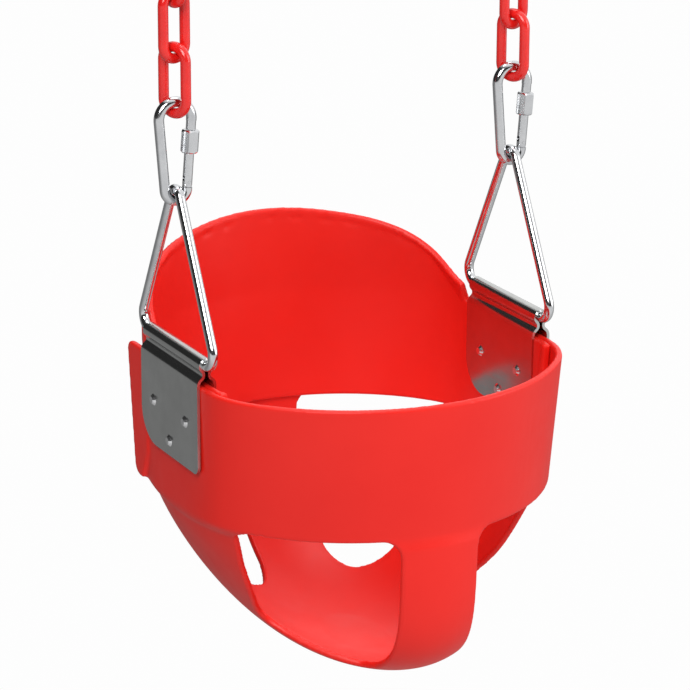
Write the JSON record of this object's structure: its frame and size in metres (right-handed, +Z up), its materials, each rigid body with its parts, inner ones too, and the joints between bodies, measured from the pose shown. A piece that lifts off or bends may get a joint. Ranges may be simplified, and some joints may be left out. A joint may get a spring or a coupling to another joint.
{
  "type": "toddler bucket swing",
  "caption": "Moulded high-back bucket swing seat with leg holes, hung from triangular hangers, screw-lock spring hooks and short coated chains.",
  "frame": {"origin": "midway between the two beam eyes that the upper hooks hang on, on the axis that the swing hangs from", "axes": "+Z up along the chains, -Y out of the front of the seat, +X to the right as seen from the front"},
  "size_m": [0.2955, 0.3033, 0.5864],
  "materials": {
    "seat_plastic": "satin moulded red",
    "chain_coating": "glossy red dip coating over steel",
    "bright_zinc": "bright zinc plate",
    "plate_steel": "polished",
    "rivet_steel": "bright",
    "spring_steel": "plain"
  },
  "bodies": {
    "hangers": {"left_upper_hook_body": "bright_zinc", "left_upper_hook_pin": "bright_zinc", "right_upper_hook_body": "bright_zinc", "right_upper_hook_pin": "bright_zinc"},
    "left_link_1": {"left_chain_link_1": "chain_coating"},
    "left_link_2": {"left_chain_link_2": "chain_coating"},
    "left_link_3": {"left_chain_link_3": "chain_coating"},
    "left_lower_hook": {"left_lower_hook_body": "bright_zinc", "left_lower_hook_pin": "bright_zinc"},
    "left_hanger_triangle": {"left_triangle": "bright_zinc"},
    "left_upper_gate": {"left_upper_hook_gate": "bright_zinc", "left_upper_hook_spring": "spring_steel"},
    "left_upper_nut": {"left_upper_hook_nut": "bright_zinc"},
    "left_lower_gate": {"left_lower_hook_gate": "bright_zinc", "left_lower_hook_spring": "spring_steel"},
    "left_lower_nut": {"left_lower_hook_nut": "bright_zinc"},
    "right_link_1": {"right_chain_link_1": "chain_coating"},
    "right_link_2": {"right_chain_link_2": "chain_coating"},
    "right_link_3": {"right_chain_link_3": "chain_coating"},
    "right_lower_hook": {"right_lower_hook_body": "bright_zinc", "right_lower_hook_pin": "bright_zinc"},
    "right_hanger_triangle": {"right_triangle": "bright_zinc"},
    "right_upper_gate": {"right_upper_hook_gate": "bright_zinc", "right_upper_hook_spring": "spring_steel"},
    "right_upper_nut": {"right_upper_hook_nut": "bright_zinc"},
    "right_lower_gate": {"right_lower_hook_gate": "bright_zinc", "right_lower_hook_spring": "spring_steel"},
    "right_lower_nut": {"right_lower_hook_nut": "bright_zinc"},
    "bucket": {"seat_base": "seat_plastic", "high_back": "seat_plastic", "left_hinge_plate": "plate_steel", "right_hinge_plate": "plate_steel", "left_rivets": "rivet_steel", "right_rivets": "rivet_steel"}
  },
  "joints": [
    {"name": "left_swing", "type": "hinge", "parent": "hangers", "child": "left_link_1", "pos_m": [-0.131, 0, -0.0612], "axis": [1, 0, 0], "range_deg": [-35, 35]},
    {"name": "left_link_2_turn", "type": "hinge", "parent": "left_link_1", "child": "left_link_2", "pos_m": [-0.131, 0, -0.0912], "axis": [1, 0, 0], "range_deg": [-10, 10]},
    {"name": "left_link_3_turn", "type": "hinge", "parent": "left_link_2", "child": "left_link_3", "pos_m": [-0.131, 0, -0.137], "axis": [1, 0, 0], "range_deg": [-8, 8]},
    {"name": "left_hook_turn", "type": "hinge", "parent": "left_link_3", "child": "left_lower_hook", "pos_m": [-0.131, 0, -0.167], "axis": [1, 0, 0], "range_deg": [-8, 8]},
    {"name": "left_sway", "type": "hinge", "parent": "left_lower_hook", "child": "left_hanger_triangle", "pos_m": [-0.131, 0, -0.228], "axis": [0, 1, 0], "range_deg": [-12, 12]},
    {"name": "left_upper_gate_hinge", "type": "hinge", "parent": "hangers", "child": "left_upper_gate", "pos_m": [-0.12244, 0, -0.00489], "axis": [0, -1, 0], "range_deg": [-14, 0], "stiffness_Nm_per_rad": 0.5, "springref_deg": 8.59},
    {"name": "left_upper_nut_screw", "type": "slide", "parent": "left_upper_gate", "child": "left_upper_nut", "axis": [0.0782, 0, -0.9969], "range_m": [0, 0.005]},
    {"name": "left_lower_gate_hinge", "type": "hinge", "parent": "left_lower_hook", "child": "left_lower_gate", "pos_m": [-0.12244, 0, -0.22331], "axis": [0, 1, 0], "range_deg": [-14, 0], "stiffness_Nm_per_rad": 0.5, "springref_deg": 8.59},
    {"name": "left_lower_nut_screw", "type": "slide", "parent": "left_lower_gate", "child": "left_lower_nut", "axis": [0.0782, 0, 0.9969], "range_m": [0, 0.005]},
    {"name": "right_swing", "type": "hinge", "parent": "hangers", "child": "right_link_1", "pos_m": [0.131, 0, -0.0612], "axis": [1, 0, 0], "range_deg": [-35, 35]},
    {"name": "right_link_2_turn", "type": "hinge", "parent": "right_link_1", "child": "right_link_2", "pos_m": [0.131, 0, -0.0912], "axis": [1, 0, 0], "range_deg": [-10, 10]},
    {"name": "right_link_3_turn", "type": "hinge", "parent": "right_link_2", "child": "right_link_3", "pos_m": [0.131, 0, -0.137], "axis": [1, 0, 0], "range_deg": [-8, 8]},
    {"name": "right_hook_turn", "type": "hinge", "parent": "right_link_3", "child": "right_lower_hook", "pos_m": [0.131, 0, -0.167], "axis": [1, 0, 0], "range_deg": [-8, 8]},
    {"name": "right_sway", "type": "hinge", "parent": "right_lower_hook", "child": "right_hanger_triangle", "pos_m": [0.131, 0, -0.228], "axis": [0, 1, 0], "range_deg": [-12, 12]},
    {"name": "right_upper_gate_hinge", "type": "hinge", "parent": "hangers", "child": "right_upper_gate", "pos_m": [0.13956, 0, -0.00489], "axis": [0, -1, 0], "range_deg": [-14, 0], "stiffness_Nm_per_rad": 0.5, "springref_deg": 8.59},
    {"name": "right_upper_nut_screw", "type": "slide", "parent": "right_upper_gate", "child": "right_upper_nut", "axis": [0.0782, 0, -0.9969], "range_m": [0, 0.005]},
    {"name": "right_lower_gate_hinge", "type": "hinge", "parent": "right_lower_hook", "child": "right_lower_gate", "pos_m": [0.13956, 0, -0.22331], "axis": [0, 1, 0], "range_deg": [-14, 0], "stiffness_Nm_per_rad": 0.5, "springref_deg": 8.59},
    {"name": "right_lower_nut_screw", "type": "slide", "parent": "right_lower_gate", "child": "right_lower_nut", "axis": [0.0782, 0, 0.9969], "range_m": [0, 0.005]},
    {"name": "bucket_level", "type": "hinge", "parent": "left_hanger_triangle", "child": "bucket", "pos_m": [-0.131, 0, -0.34064], "axis": [0, 1, 0], "range_deg": [-12, 12]}
  ],
  "couplings": [
    {"joint": "right_swing", "follows": "left_swing", "ratio": 1},
    {"joint": "right_link_2_turn", "follows": "left_link_2_turn", "ratio": 1},
    {"joint": "right_link_3_turn", "follows": "left_link_3_turn", "ratio": 1},
    {"joint": "right_hook_turn", "follows": "left_hook_turn", "ratio": 1},
    {"joint": "right_sway", "follows": "left_sway", "ratio": 1},
    {"joint": "bucket_level", "follows": "left_sway", "ratio": -1}
  ]
}
